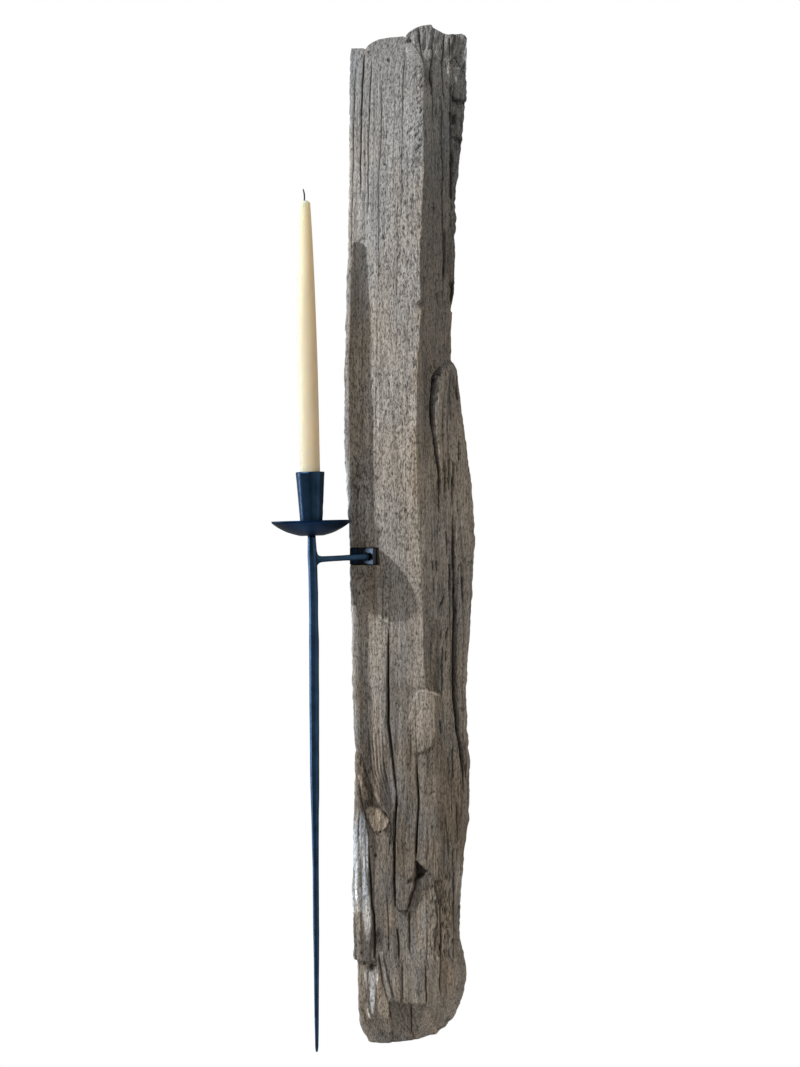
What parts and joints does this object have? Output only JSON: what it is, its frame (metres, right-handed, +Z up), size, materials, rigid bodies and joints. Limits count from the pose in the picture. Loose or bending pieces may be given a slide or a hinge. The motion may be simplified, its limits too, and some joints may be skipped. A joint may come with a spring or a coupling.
{
  "type": "wall sconce candle holder",
  "caption": "Forged iron spike candle holder with drip pan and cup on an arm let into a tall weathered timber that hangs on a wall.",
  "frame": {"origin": "middle of the timber's flat back, on the wall", "axes": "+Z up along the timber, +Y into the wall, +X to the right seen from the room; the candle holder is on the left (-X) and in front (-Y)"},
  "size_m": [0.2146, 0.1581, 1.0879],
  "materials": {
    "weathered_wood": "silver grey weathered softwood, split and furrowed along the grain",
    "black_iron": "hand forged, blackened and waxed, with soft hammer marks",
    "ivory_wax": "smooth ivory candle wax",
    "burnt_wick": "charred braided cotton",
    "zinc_steel": "dull zinc plate"
  },
  "bodies": {
    "holder": {"timber_beam": "weathered_wood", "bracket_strap": "black_iron", "bracket_screw_upper": "black_iron", "bracket_screw_lower": "black_iron", "side_arm": "black_iron", "stem_spike": "black_iron", "drip_pan": "black_iron", "candle_cup": "black_iron", "hanger_plate_upper": "zinc_steel", "hanger_plate_lower": "zinc_steel", "hanger_screw_upper_top": "zinc_steel", "hanger_screw_upper_bottom": "zinc_steel", "hanger_screw_lower_top": "zinc_steel", "hanger_screw_lower_bottom": "zinc_steel"},
    "candle": {"candle_wax": "ivory_wax", "candle_wick": "burnt_wick"}
  },
  "joints": [
    {"name": "candle_lift", "type": "slide", "parent": "holder", "child": "candle", "axis": [-0.0209, 0, 0.9998], "range_m": [0, 0.1]}
  ]
}
